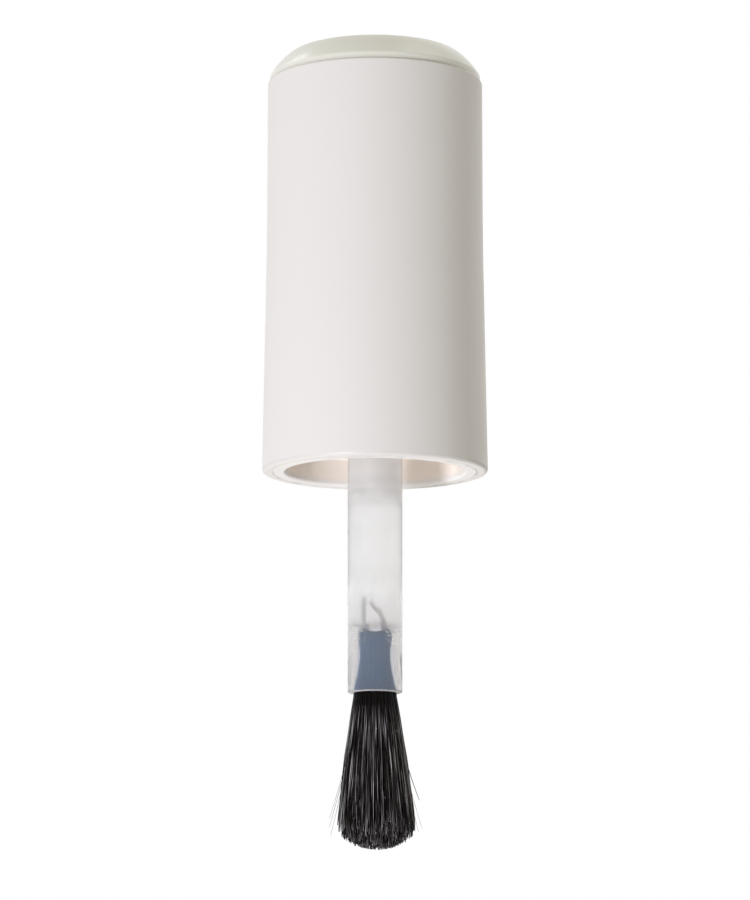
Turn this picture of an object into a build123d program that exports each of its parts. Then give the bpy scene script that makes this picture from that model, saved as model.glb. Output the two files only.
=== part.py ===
from build123d import *
import os
from math import radians, tan

# Brush cap of a small varnish bottle, in millimetres. +Z points to the closed end of the cap, and the brush
# hangs down. The origin is the centre of the mouth, in the plane of the rim. Unless a comment says otherwise
# a height is measured up from the rim, and a depth on the stem's tip is measured up from that tip.

# Fits between pieces
FIT_GAP = 0.05  # radial gap of an easy fit
PRESS_GAP = 0.02  # radial gap drawn where pieces grip each other
FLEX_GAP = 0.15  # gap between the fixed roots and the bristles that swing below them

# Threaded liner: it screws on a 13 mm neck with 12 threads to the inch
THREAD_ROOT_RADIUS = 6.65
THREAD_DEPTH = 0.7  # from the root to the crest
THREAD_PITCH = 25.4 / 12
THREAD_TURNS = 1.75
THREAD_ROOT_WIDTH = 1.3
THREAD_CREST_WIDTH = 0.5
THREAD_START = 3.0  # rim to the centre of the thread's lower end
LEAD_IN_STEP = 0.1  # how much wider the plain lead-in is than the thread's root
LEAD_IN_DEPTH = 2.0
NECK_DEPTH = 10.8  # rim to the underside of the liner's roof
ROOF_THICKNESS = 1.4
LINER_WALL = 0.6
FOOT_WALL = 0.9  # wall of the foot that shows in the mouth
FOOT_HEIGHT = 1.2
RIB_COUNT = 24
RIB_HEIGHT = 0.23
RIB_WIDTH = 0.7
RIB_LEAD = 0.5  # slanted lead-in at the top of each rib
BOSS_WALL = 1.2
BOSS_HEIGHT = 3.0
EDGE_BREAK = 0.05  # small round on the edges of the seam in the rim
LEAD_IN_ROUND = 0.2

# Outer shell
MOUTH_WALL = 0.83
SHELL_FLARE = 0.3  # how much wider the mouth is than the straight barrel
FLARE_HEIGHT = 18.0  # where the flare runs out into the barrel
FLARE_BLEND = 350.0
SHELL_HEIGHT = 30.1
STOP_LEDGE = 0.4  # ledge inside the shell that the liner's roof meets
RIM_ROUND = 0.3
TOP_EDGE_ROUND = 0.2

# End plug: closes the top of the shell
SEAM_STEP = 0.15  # how far the plug's edge lies inside the barrel's wall
LAND_HEIGHT = 0.45
LAND_ROUND = 0.18
BEVEL_WIDTH = 1.55
BEVEL_BULGE = 0.13
PLUG_HEIGHT = 2.16  # above the shell's top edge
CROWN_ROUND = 0.35
PLATE_THICKNESS = 1.2
SPIGOT_WALL = 0.9
SPIGOT_LENGTH = 2.8
SPIGOT_LEAD = 0.3
BEAD_DEPTH = 0.12
BEAD_HALF_HEIGHT = 0.35
BEAD_BELOW_SEAT = 1.3

# Sealing washer
WASHER_THICKNESS = 1.0
WASHER_EDGE_GAP = 0.15

# Brush stem
STEM_REACH = 16.6  # rim to the stem's tip
SHANK_ROOT_RADIUS = 2.08
SHANK_TIP_RADIUS = 2.04
FLANGE_RADIUS = 3.2
FLANGE_THICKNESS = 0.9
BARB_DEPTH = 0.3
BARB_HEIGHT = 1.3
BARB_LAND = 0.4
CORE_RADIUS = 1.1
CORE_FLOOR = 1.0  # rim to the bottom of the hole cored from the top
TIP_ROUND = 0.12
SOCKET_MOUTH_RADIUS = 1.6
SOCKET_STRAIGHT = 0.6
SOCKET_TAPER_END = 3.6
SOCKET_HEADROOM = 0.1  # between the knot's crown and the socket's end
SOCKET_POINT = 0.3

# Knot: the folded roots of the bristles, inside the socket. Depths from the stem's tip
KNOT_BULGE_RADIUS = 1.3
KNOT_BULGE_DEPTH = 4.0
KNOT_WAIST_RADIUS = 1.15
KNOT_WAIST_DEPTH = 3.15
KNOT_CROWN_RADIUS = 0.72
KNOT_CROWN_DEPTH = 4.93
KNOT_SADDLE_DEPTH = 4.62  # lowest line of the hollow along Y, where the bundle is folded
KNOT_SADDLE_RADIUS = 0.97

# Anchor: a bent wire that the bundle is folded over. Depths from the stem's tip
WIRE_RADIUS = 0.125
WIRE_LEG_OFFSET = 0.56  # each leg from the axis, where it leaves the knot
WIRE_BAR_DEPTH = 3.75
WIRE_BEND_DEPTH = 4.2
WIRE_SHOULDER_DEPTH = 4.95
WIRE_TOP_DEPTH = 7.1
WIRE_END_OFFSET = -0.24  # where the slanting leg ends beside the straight one
WIRE_END_DEPTH = 6.72
WIRE_BOW = 0.1  # how far the slanting leg bows outwards
WIRE_BEND_RADIUS = 0.3

# Bristles outside the stem. Heights here are measured down from the stem's tip
TUFT_LENGTH = 11.66
TUFT_TOP_RADIUS = 1.6
TUFT_END_RADIUS = 2.95
TUFT_FULL_LENGTH = 9.7  # where the tuft is widest
TUFT_SIDE_BULGE = 0.08
PARTING_START = 2.4  # where the bristles begin to part into locks
PARTING_DEPTH = 0.42  # of the deepest parting, where the tuft is widest
PARTING_ANGLE = 66.0  # between the flanks of a parting
# Each parting: direction round the axis in degrees, and its share of that depth
PARTINGS = [
    (20.0, 0.75),
    (54.0, 1.0),
    (87.0, 0.8),
    (122.0, 0.95),
    (158.0, 0.7),
    (196.0, 0.85),
    (235.0, 1.0),
    (281.0, 0.9),
    (313.0, 1.0),
    (347.0, 0.8),
]
FLEX_ANGLE = 25.0  # how far the tuft swings each way
STRAY_RADIUS = 0.05
STRAY_SPREAD = 0.6  # how far outside the widest tuft the furthest stray bristle ends
# Each stray bristle: direction round the axis in degrees, where it leaves the tuft and where it ends as
# shares of the tuft's length, and its share of the spread
STRAYS = [
    (184.0, 0.39, 0.84, 1.0),
    (176.0, 0.55, 0.88, 0.75),
    (-4.0, 0.45, 0.83, 0.95),
    (8.0, 0.6, 0.89, 0.65),
    (72.0, 0.48, 0.85, 0.7),
    (-118.0, 0.43, 0.87, 0.85),
]

# Sizes that follow from the ones above
lead_in_radius = THREAD_ROOT_RADIUS + LEAD_IN_STEP
foot_radius = lead_in_radius + FOOT_WALL
liner_radius = THREAD_ROOT_RADIUS + LINER_WALL
rib_tip_radius = liner_radius + RIB_HEIGHT
roof_top = NECK_DEPTH + ROOF_THICKNESS
boss_top = roof_top + BOSS_HEIGHT
neck_hole_radius = SHANK_ROOT_RADIUS + FIT_GAP

foot_bore = foot_radius + PRESS_GAP
grip_bore = rib_tip_radius + PRESS_GAP
upper_bore = grip_bore - STOP_LEDGE
mouth_radius = foot_bore + MOUTH_WALL
barrel_radius = mouth_radius - SHELL_FLARE

plug_edge_radius = barrel_radius - SEAM_STEP
spigot_radius = upper_bore - FIT_GAP
bead_height = SHELL_HEIGHT - BEAD_BELOW_SEAT

washer_bottom = NECK_DEPTH - WASHER_THICKNESS
stem_tip = -STEM_REACH
head_top = boss_top + BARB_HEIGHT
socket_end_radius = KNOT_BULGE_RADIUS + PRESS_GAP
socket_depth = KNOT_CROWN_DEPTH + SOCKET_HEADROOM


def turned(*outline):
    """Solid of revolution about Z. The outline is closed: lines and arcs drawn as (radius, height)."""
    return revolve(Plane.XZ * make_face(Curve() + list(outline)), Axis.Z)


def turned_polygon(points, rounds=None):
    """The same from a polygon. rounds gives some corners a fillet radius, by their place in the list."""
    rounds = rounds or {}
    radii = [rounds.get(corner, 0) for corner in range(len(points))]
    return turned(FilletPolyline(*points, radius=radii, close=True))


def outer_shell():
    """Decorative tube that the fingers hold, open at both ends."""
    foot_recess = FOOT_HEIGHT + FIT_GAP
    groove_depth = BEAD_DEPTH + FIT_GAP
    return turned_polygon(
        [
            (foot_bore, 0),
            (mouth_radius, 0),
            (barrel_radius, FLARE_HEIGHT),
            (barrel_radius, SHELL_HEIGHT),
            (upper_bore, SHELL_HEIGHT),
            (upper_bore, bead_height + BEAD_HALF_HEIGHT + FIT_GAP),
            (upper_bore + groove_depth, bead_height),
            (upper_bore, bead_height - BEAD_HALF_HEIGHT - FIT_GAP),
            (upper_bore, roof_top),
            (grip_bore, roof_top),
            (grip_bore, foot_recess),
            (foot_bore, foot_recess),
        ],
        {0: EDGE_BREAK, 1: RIM_ROUND, 2: FLARE_BLEND, 3: TOP_EDGE_ROUND},
    )


def end_plug():
    """Bevelled disc with a hollow spigot, whose bead snaps into a groove in the shell's bore."""
    crown_radius = plug_edge_radius - BEVEL_WIDTH
    crown_height = SHELL_HEIGHT + PLUG_HEIGHT
    land_top = SHELL_HEIGHT + LAND_HEIGHT
    spigot_end = SHELL_HEIGHT - SPIGOT_LENGTH
    spigot_inside = spigot_radius - SPIGOT_WALL
    plate_under = crown_height - PLATE_THICKNESS
    plug = turned(
        SagittaArc((plug_edge_radius, land_top), (crown_radius, crown_height), -BEVEL_BULGE),
        Polyline(
            (crown_radius, crown_height),
            (0, crown_height),
            (0, plate_under),
            (spigot_inside, plate_under),
            (spigot_inside, spigot_end),
            (spigot_radius - SPIGOT_LEAD, spigot_end),
            (spigot_radius, spigot_end + SPIGOT_LEAD),
            (spigot_radius, bead_height - BEAD_HALF_HEIGHT),
            (spigot_radius + BEAD_DEPTH, bead_height),
            (spigot_radius, bead_height + BEAD_HALF_HEIGHT),
            (spigot_radius, SHELL_HEIGHT),
            (plug_edge_radius, SHELL_HEIGHT),
            (plug_edge_radius, land_top),
        ),
    )
    plug = fillet(rings_at(plug, plug_edge_radius, land_top), LAND_ROUND)
    return fillet(rings_at(plug, crown_radius, crown_height), CROWN_ROUND)


def rings_at(solid, radius, height):
    """The circular edges of a turned solid with this radius, at this height."""
    near = 1e-3
    return [
        ring
        for ring in solid.edges().filter_by(GeomType.CIRCLE)
        if abs(ring.radius - radius) < near and abs(ring.center(CenterOf.BOUNDING_BOX).Z - height) < near
    ]


def thread_ridge():
    """Ridge that winds up the inside of the liner. Its base is sunk in the wall so that the two fuse."""
    sunk = LINER_WALL / 4
    path = Edge.make_helix(THREAD_PITCH, THREAD_PITCH * THREAD_TURNS, THREAD_ROOT_RADIUS)
    across = Plane(origin=path @ 0, x_dir=(-1, 0, 0), z_dir=path % 0)
    flank = (THREAD_ROOT_WIDTH - THREAD_CREST_WIDTH) / 2 / THREAD_DEPTH
    base = THREAD_ROOT_WIDTH / 2 + flank * sunk
    section = across * make_face(
        Polyline(
            (-sunk, -base),
            (THREAD_DEPTH, -THREAD_CREST_WIDTH / 2),
            (THREAD_DEPTH, THREAD_CREST_WIDTH / 2),
            (-sunk, base),
            close=True,
        )
    )
    return Pos(0, 0, THREAD_START) * sweep(section, path=path, is_frenet=True)


def grip_ribs():
    """Ribs round the liner's outside, which bite into the shell's bore."""
    buried = liner_radius - LINER_WALL / 2
    ring = turned_polygon(
        [
            (buried, FOOT_HEIGHT),
            (rib_tip_radius, FOOT_HEIGHT),
            (rib_tip_radius, roof_top - RIB_LEAD),
            (liner_radius, roof_top),
            (buried, roof_top),
        ]
    )
    bars = [
        place * Box(2 * rib_tip_radius, RIB_WIDTH, roof_top, align=(Align.MIN, Align.CENTER, Align.MIN))
        for place in PolarLocations(0, RIB_COUNT)
    ]
    return [ring & bar for bar in bars]


def inner_cap():
    """Threaded liner: its foot shows in the mouth, its roof carries the boss that holds the stem."""
    boss_radius = neck_hole_radius + BOSS_WALL
    liner = turned_polygon(
        [
            (lead_in_radius, 0),
            (foot_radius, 0),
            (foot_radius, FOOT_HEIGHT),
            (liner_radius, FOOT_HEIGHT),
            (liner_radius, roof_top),
            (boss_radius, roof_top),
            (boss_radius, boss_top),
            (neck_hole_radius, boss_top),
            (neck_hole_radius, NECK_DEPTH),
            (THREAD_ROOT_RADIUS, NECK_DEPTH),
            (THREAD_ROOT_RADIUS, LEAD_IN_DEPTH + LEAD_IN_STEP),
            (lead_in_radius, LEAD_IN_DEPTH),
        ],
        {0: LEAD_IN_ROUND, 1: EDGE_BREAK},
    )
    return liner + grip_ribs() + thread_ridge()


def seal_washer():
    """Foam washer under the liner's roof, pressed on by the bottle's lip."""
    return turned_polygon(
        [
            (neck_hole_radius, washer_bottom),
            (THREAD_ROOT_RADIUS - WASHER_EDGE_GAP, washer_bottom),
            (THREAD_ROOT_RADIUS - WASHER_EDGE_GAP, NECK_DEPTH),
            (neck_hole_radius, NECK_DEPTH),
        ]
    )


def wire_along(radius):
    """Round bar of this radius along the anchor's bent line."""
    leg = WIRE_LEG_OFFSET
    mid_offset = (leg + WIRE_END_OFFSET) / 2 + WIRE_BOW
    mid_depth = (WIRE_SHOULDER_DEPTH + WIRE_END_DEPTH) / 2 + WIRE_BOW
    bends = [
        (-leg, WIRE_TOP_DEPTH),
        (-leg, WIRE_BEND_DEPTH),
        (0, WIRE_BAR_DEPTH),
        (leg, WIRE_BEND_DEPTH),
        (leg, WIRE_SHOULDER_DEPTH),
        (mid_offset, mid_depth),
        (WIRE_END_OFFSET, WIRE_END_DEPTH),
    ]
    path = FilletPolyline(
        *[(across, 0, stem_tip + depth) for across, depth in bends], radius=WIRE_BEND_RADIUS
    )
    start = Plane(origin=path @ 0, z_dir=path % 0)
    return sweep(start * Circle(radius), path=path)


def brush_stem():
    """Translucent wand: barbed head above the roof, flange under the washer, blind socket in the tip."""
    flange_bottom = washer_bottom - FLANGE_THICKNESS
    barb_radius = neck_hole_radius + BARB_DEPTH
    stem = turned_polygon(
        [
            (0, CORE_FLOOR),
            (CORE_RADIUS, CORE_FLOOR + CORE_RADIUS),
            (CORE_RADIUS, head_top),
            (SHANK_ROOT_RADIUS - BARB_DEPTH, head_top),
            (barb_radius, boss_top + BARB_LAND),
            (barb_radius, boss_top),
            (SHANK_ROOT_RADIUS, boss_top),
            (SHANK_ROOT_RADIUS, washer_bottom),
            (FLANGE_RADIUS, washer_bottom),
            (FLANGE_RADIUS, flange_bottom),
            (SHANK_ROOT_RADIUS, flange_bottom),
            (SHANK_TIP_RADIUS, stem_tip),
            (SOCKET_MOUTH_RADIUS, stem_tip),
            (SOCKET_MOUTH_RADIUS, stem_tip + SOCKET_STRAIGHT),
            (socket_end_radius, stem_tip + SOCKET_TAPER_END),
            (socket_end_radius, stem_tip + socket_depth),
            (0, stem_tip + socket_depth + SOCKET_POINT),
        ],
        {11: TIP_ROUND},
    )
    return stem - wire_along(WIRE_RADIUS + PRESS_GAP)


def anchor_wire():
    """Steel wire that the bundle hangs on. Its legs are pushed up into the stem's solid plastic."""
    return wire_along(WIRE_RADIUS)


def bristle_knot():
    """Folded and squeezed ends of the bristles, which fill the socket. Its crown has a saddle along Y."""
    upwards, inwards = (0, 1), (-1, 0)
    mouth = (SOCKET_MOUTH_RADIUS - PRESS_GAP, stem_tip)
    waist = (KNOT_WAIST_RADIUS, stem_tip + KNOT_WAIST_DEPTH)
    bulge = (KNOT_BULGE_RADIUS, stem_tip + KNOT_BULGE_DEPTH)
    crown = (KNOT_CROWN_RADIUS, stem_tip + KNOT_CROWN_DEPTH)
    knot = turned(
        Spline(mouth, waist, bulge, tangents=[upwards, upwards]),
        Spline(bulge, crown, tangents=[upwards, inwards]),
        Polyline(crown, (0, crown[1]), (0, stem_tip), mouth),
    )
    saddle_height = stem_tip + KNOT_SADDLE_DEPTH + KNOT_SADDLE_RADIUS
    saddle = Rot(90, 0, 0) * Cylinder(KNOT_SADDLE_RADIUS, 4 * KNOT_BULGE_RADIUS)
    return knot - Pos(0, 0, saddle_height) * saddle - wire_along(WIRE_RADIUS + PRESS_GAP)


def tuft_radius(drop):
    """Outer radius of the tuft at this drop below the stem's tip, down to its widest place."""
    share = min(drop / TUFT_FULL_LENGTH, 1)
    straight = SOCKET_MOUTH_RADIUS + (TUFT_END_RADIUS - SOCKET_MOUTH_RADIUS) * share
    return straight + 4 * TUFT_SIDE_BULGE * share * (1 - share)


def parting(turn, depth_share):
    """Wedge between two locks: a V that deepens from where the bristles part to the widest place."""
    start = Vector(tuft_radius(PARTING_START), 0, stem_tip - PARTING_START)
    deepest = Vector(TUFT_END_RADIUS - depth_share * PARTING_DEPTH, 0, stem_tip - TUFT_FULL_LENGTH)
    downwards = (deepest - start).normalized()
    height = 2 * PARTING_DEPTH
    half_width = height * tan(radians(PARTING_ANGLE / 2))
    across = Plane(origin=start - downwards * PARTING_DEPTH, x_dir=(0, 1, 0), z_dir=downwards)
    section = make_face(Polyline((0, 0), (half_width, height), (-half_width, height), close=True))
    return Rot(0, 0, turn) * extrude(across * section, TUFT_LENGTH, dir=downwards)


def bristle_tuft():
    """Free length of the bristles, flared, parted into locks and cut to a dome. Its top is a cone that
    clears the stem as it swings."""
    cone_drop = FLEX_GAP + TUFT_TOP_RADIUS * tan(radians(FLEX_ANGLE))
    shoulder = (TUFT_TOP_RADIUS, stem_tip - cone_drop)
    widest = (TUFT_END_RADIUS, stem_tip - TUFT_FULL_LENGTH)
    tip = (0, stem_tip - TUFT_LENGTH)
    downwards, inwards = (0, -1), (-1, 0)
    whole = turned(
        Polyline(tip, (0, stem_tip - FLEX_GAP), shoulder),
        SagittaArc(shoulder, widest, -TUFT_SIDE_BULGE),
        Spline(widest, tip, tangents=[downwards, inwards]),
    )
    return whole - [parting(turn, depth_share) for turn, depth_share in PARTINGS]


def stray_bristles():
    """Single bristles that stand off the tuft, each a straight rod from the tuft's side."""
    strays = []
    for turn, leaves, ends, spread in STRAYS:
        start_drop = leaves * TUFT_LENGTH
        start = (tuft_radius(start_drop) + 2 * STRAY_RADIUS, 0, stem_tip - start_drop)
        end = (TUFT_END_RADIUS + spread * STRAY_SPREAD, 0, stem_tip - ends * TUFT_LENGTH)
        line = Edge.make_line(start, end)
        rod = sweep(Plane(origin=start, z_dir=line % 0) * Circle(STRAY_RADIUS), path=line)
        strays.append(Rot(0, 0, turn) * rod)
    return Compound(children=strays)


NODES = [
    outer_shell,
    end_plug,
    inner_cap,
    seal_washer,
    brush_stem,
    anchor_wire,
    bristle_knot,
    bristle_tuft,
    stray_bristles,
]

os.makedirs("parts", exist_ok=True)
for node in NODES:
    export_step(node(), f"parts/{node.__name__}.step")
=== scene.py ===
import math
import bpy
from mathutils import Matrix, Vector


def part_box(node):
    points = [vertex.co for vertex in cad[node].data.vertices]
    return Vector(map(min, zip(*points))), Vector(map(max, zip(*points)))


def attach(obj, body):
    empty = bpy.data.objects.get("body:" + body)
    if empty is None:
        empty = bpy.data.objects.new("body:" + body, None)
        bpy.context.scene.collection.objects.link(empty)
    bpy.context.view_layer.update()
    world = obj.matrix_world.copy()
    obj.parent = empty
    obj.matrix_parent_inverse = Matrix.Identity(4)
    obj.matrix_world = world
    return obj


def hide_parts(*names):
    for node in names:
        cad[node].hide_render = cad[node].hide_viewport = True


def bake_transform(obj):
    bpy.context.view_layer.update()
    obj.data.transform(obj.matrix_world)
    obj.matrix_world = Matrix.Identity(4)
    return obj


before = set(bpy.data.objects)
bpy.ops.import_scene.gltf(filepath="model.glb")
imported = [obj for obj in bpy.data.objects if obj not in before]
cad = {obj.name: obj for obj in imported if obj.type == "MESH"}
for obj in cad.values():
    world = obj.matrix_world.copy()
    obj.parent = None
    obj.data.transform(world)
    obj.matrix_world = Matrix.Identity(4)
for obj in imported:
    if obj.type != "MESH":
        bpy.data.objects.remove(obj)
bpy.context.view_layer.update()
scene = bpy.context.scene

# Camera: a long lens held below the cap's mouth and tilted up, so that the rim, the liner's wall and the
# bevel at the top all show. It stands far enough off for the cap's sides to stay nearly parallel.
CAMERA_DISTANCE = 0.280
CAMERA_HEIGHT = -0.0451
CAMERA_TILT = math.radians(99.5)
CAMERA_LENS = 150.76
CAMERA_NEAREST = 0.01
camera = bpy.data.objects.new("camera", bpy.data.cameras.new("camera"))
camera.data.lens = CAMERA_LENS
camera.data.clip_start = CAMERA_NEAREST
camera.location = (0, -CAMERA_DISTANCE, CAMERA_HEIGHT)
camera.rotation_euler = (CAMERA_TILT, 0, 0)
scene.collection.objects.link(camera)
scene.camera = camera
scene.view_settings.view_transform = "Standard"


# Studio: one lamp low on the left models the cap and throws the stem's shadow into its mouth, a wide one
# fills that mouth from the right, and two weak ones edge the cap from the left and from above. The surround
# is bright below and above, dim round the horizon and white at the back, and is seen as plain white.
SURROUND_BANDS = [(0.24, "#dad4cc"), (0.42, "#181716"), (0.6, "#181716"), (0.8, "#e4dfd0")]
SURROUND_UP = Vector((0.18, 0.04, 1.0)).normalized()
BACK_STARTS = 0.6
BACK_FULL = 0.9
SURROUND_BACK = "#ffffff"
SURROUND_SEEN = "#ffffff"


def linear(colour):
    """The linear colour of an sRGB hex value."""
    channels = [int(colour[start : start + 2], 16) / 255 for start in (1, 3, 5)]
    return [c / 12.92 if c <= 0.04045 else ((c + 0.055) / 1.055) ** 2.4 for c in channels] + [1]


def add_node(tree, kind, inputs=None, **settings):
    """Adds a node to a tree. Each input is given as a value, or as the socket that feeds it."""
    node = tree.nodes.new(kind)
    for name, value in settings.items():
        setattr(node, name, value)
    for name, value in (inputs or {}).items():
        if isinstance(value, bpy.types.NodeSocket):
            tree.links.new(value, node.inputs[name])
        else:
            node.inputs[name].default_value = value
    return node


def hang_lamp(name, azimuth, elevation, distance, size, power, colour):
    """Square lamp aimed at the cap's mouth. Azimuth 0 is the camera's side, and turns to the right."""
    turn, rise = math.radians(azimuth), math.radians(elevation)
    lamp = bpy.data.objects.new(name, bpy.data.lights.new(name, "AREA"))
    lamp.data.size = size
    lamp.data.energy = power
    lamp.data.color = linear(colour)[:3]
    lamp.location = distance * Vector(
        (math.sin(turn) * math.cos(rise), -math.cos(turn) * math.cos(rise), math.sin(rise))
    )
    lamp.rotation_euler = (-lamp.location).to_track_quat("-Z", "Y").to_euler()
    scene.collection.objects.link(lamp)


hang_lamp("key_lamp", azimuth=-35, elevation=-30, distance=0.4, size=0.09, power=1.195, colour="#f5f5ff")
hang_lamp("mouth_lamp", azimuth=48, elevation=-45, distance=0.6, size=0.3, power=0.3, colour="#fffdf8")
hang_lamp("rim_lamp", azimuth=-118, elevation=42, distance=0.6, size=0.2, power=0.42, colour="#fffdf8")
hang_lamp("top_lamp", azimuth=95, elevation=62, distance=0.6, size=0.3, power=0.22, colour="#fffdf8")

scene.world = bpy.data.worlds.new("surround")
scene.world.use_nodes = True
sky = scene.world.node_tree
sky.nodes.clear()
direction = add_node(sky, "ShaderNodeTexCoord").outputs["Generated"]
upward = add_node(sky, "ShaderNodeVectorMath", {0: direction, 1: SURROUND_UP}, operation="DOT_PRODUCT")
band = add_node(sky, "ShaderNodeMapRange", {"Value": upward.outputs["Value"], "From Min": -1.0})
bands = add_node(sky, "ShaderNodeValToRGB", {"Fac": band.outputs[0]})
while len(bands.color_ramp.elements) < len(SURROUND_BANDS):
    bands.color_ramp.elements.new(0.5)
for step, (share, colour) in zip(bands.color_ramp.elements, SURROUND_BANDS):
    step.position = share
    step.color = linear(colour)
backwards = add_node(sky, "ShaderNodeSeparateXYZ", {0: direction}).outputs["Y"]
at_back = add_node(
    sky, "ShaderNodeMapRange", {"Value": backwards, "From Min": BACK_STARTS, "From Max": BACK_FULL}
)
bands = add_node(
    sky,
    "ShaderNodeMix",
    data_type="RGBA",
    inputs={0: at_back.outputs[0], 6: bands.outputs["Color"], 7: linear(SURROUND_BACK)},
)
ray = add_node(sky, "ShaderNodeLightPath").outputs
seen = add_node(sky, "ShaderNodeMath", {0: ray["Is Camera Ray"], 1: ray["Is Glossy Ray"]}, operation="ADD")
seen = add_node(sky, "ShaderNodeMath", {0: seen.outputs[0], 1: ray["Is Transmission Ray"]}, operation="ADD")
tint = add_node(
    sky,
    "ShaderNodeMix",
    data_type="RGBA",
    inputs={0: seen.outputs[0], 6: bands.outputs[2], 7: linear(SURROUND_SEEN)},
)
glow = add_node(sky, "ShaderNodeBackground", {"Color": tint.outputs[2], "Strength": 1.0})
add_node(sky, "ShaderNodeOutputWorld", {"Surface": glow.outputs[0]})


# Floor: a broad sheet of pale matt paper laid far below, which takes the soft shadow. From beneath it looks
# see-through, so that it never hides the cap.
FLOOR_DROP = 0.35
FLOOR_RADIUS = 3.0
FLOOR_COLOUR = "#f4f3f1"
FLOOR_GLOW = 0.52
floor_mesh = bpy.data.meshes.new("floor")
floor_mesh.from_pydata(
    [(FLOOR_RADIUS * x, FLOOR_RADIUS * y, -FLOOR_DROP) for x, y in ((-1, -1), (1, -1), (1, 1), (-1, 1))],
    [],
    [(0, 1, 2, 3)],
)
paper = bpy.data.materials.new("matt_paper")
paper.use_nodes = True
sheet = paper.node_tree
sheet.nodes.clear()
pale = add_node(sheet, "ShaderNodeBsdfDiffuse", {"Color": linear(FLOOR_COLOUR)})
from_camera = add_node(sheet, "ShaderNodeLightPath").outputs["Is Camera Ray"]
lift = add_node(sheet, "ShaderNodeMath", {0: from_camera, 1: FLOOR_GLOW}, operation="MULTIPLY")
bright = add_node(sheet, "ShaderNodeEmission", {"Strength": lift.outputs[0]})
top_side = add_node(sheet, "ShaderNodeAddShader", {0: pale.outputs[0], 1: bright.outputs[0]})
under_side = add_node(sheet, "ShaderNodeBsdfTransparent")
behind = add_node(sheet, "ShaderNodeNewGeometry").outputs["Backfacing"]
both = add_node(sheet, "ShaderNodeMixShader", {0: behind, 1: top_side.outputs[0], 2: under_side.outputs[0]})
add_node(sheet, "ShaderNodeOutputMaterial", {"Surface": both.outputs[0]})
floor_mesh.materials.append(paper)
floor = bpy.data.objects.new("floor", floor_mesh)
floor.visible_diffuse = False  # the surround's own light from below reaches the object
scene.collection.objects.link(floor)


# Outer shell: the tube that the fingers hold, moulded in white ABS in a mould with a fine spark-eroded
# finish. It is pressed over the threaded liner. Its mouth carries grime in the seam, and painted shade on
# its edges that are rounded downwards.
SHELL_COLOUR = "#eeecea"
SHELL_ROUGHNESS = 0.42
SHELL_GRAIN_DEPTH = 0.00002
SHELL_SPECKS = 0.35  # how strongly the dust specks show
SHELL_SEAM_RADIUS = 0.00766  # the liner's foot meets the shell a wall's thickness inside the rim
GRAIN_SIZE = 0.00016  # the mould's texture is half as coarse, and is drawn as fine as it still shows
MOTTLE_SIZE = 0.005
MOTTLE_ROUGHNESS = 0.05
SPECK_SPACING = 0.0022
SPECK_RADIUS = 0.00006
GRIME_COLOUR = "#c2bcb2"
GRIME_REACH = 0.00022
GRIME_CORE = 0.00002
GRIME_PATCHES = 700.0  # in a metre, so a patch is about 1.4 mm long
PATCH_EDGE = 0.5
PATCH_CORE = 0.72
INNER_SHADE_TINT_FROM = 0.0001
INNER_SHADE_TINT_FULL = 0.0006
# painted shade, multiplied into edges rounded downwards, where the low key lamp lights them brightest
EDGE_PAINTED_SHADE = "#f0f0ef"
EDGE_SHADE_FULL = 0.2


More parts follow.
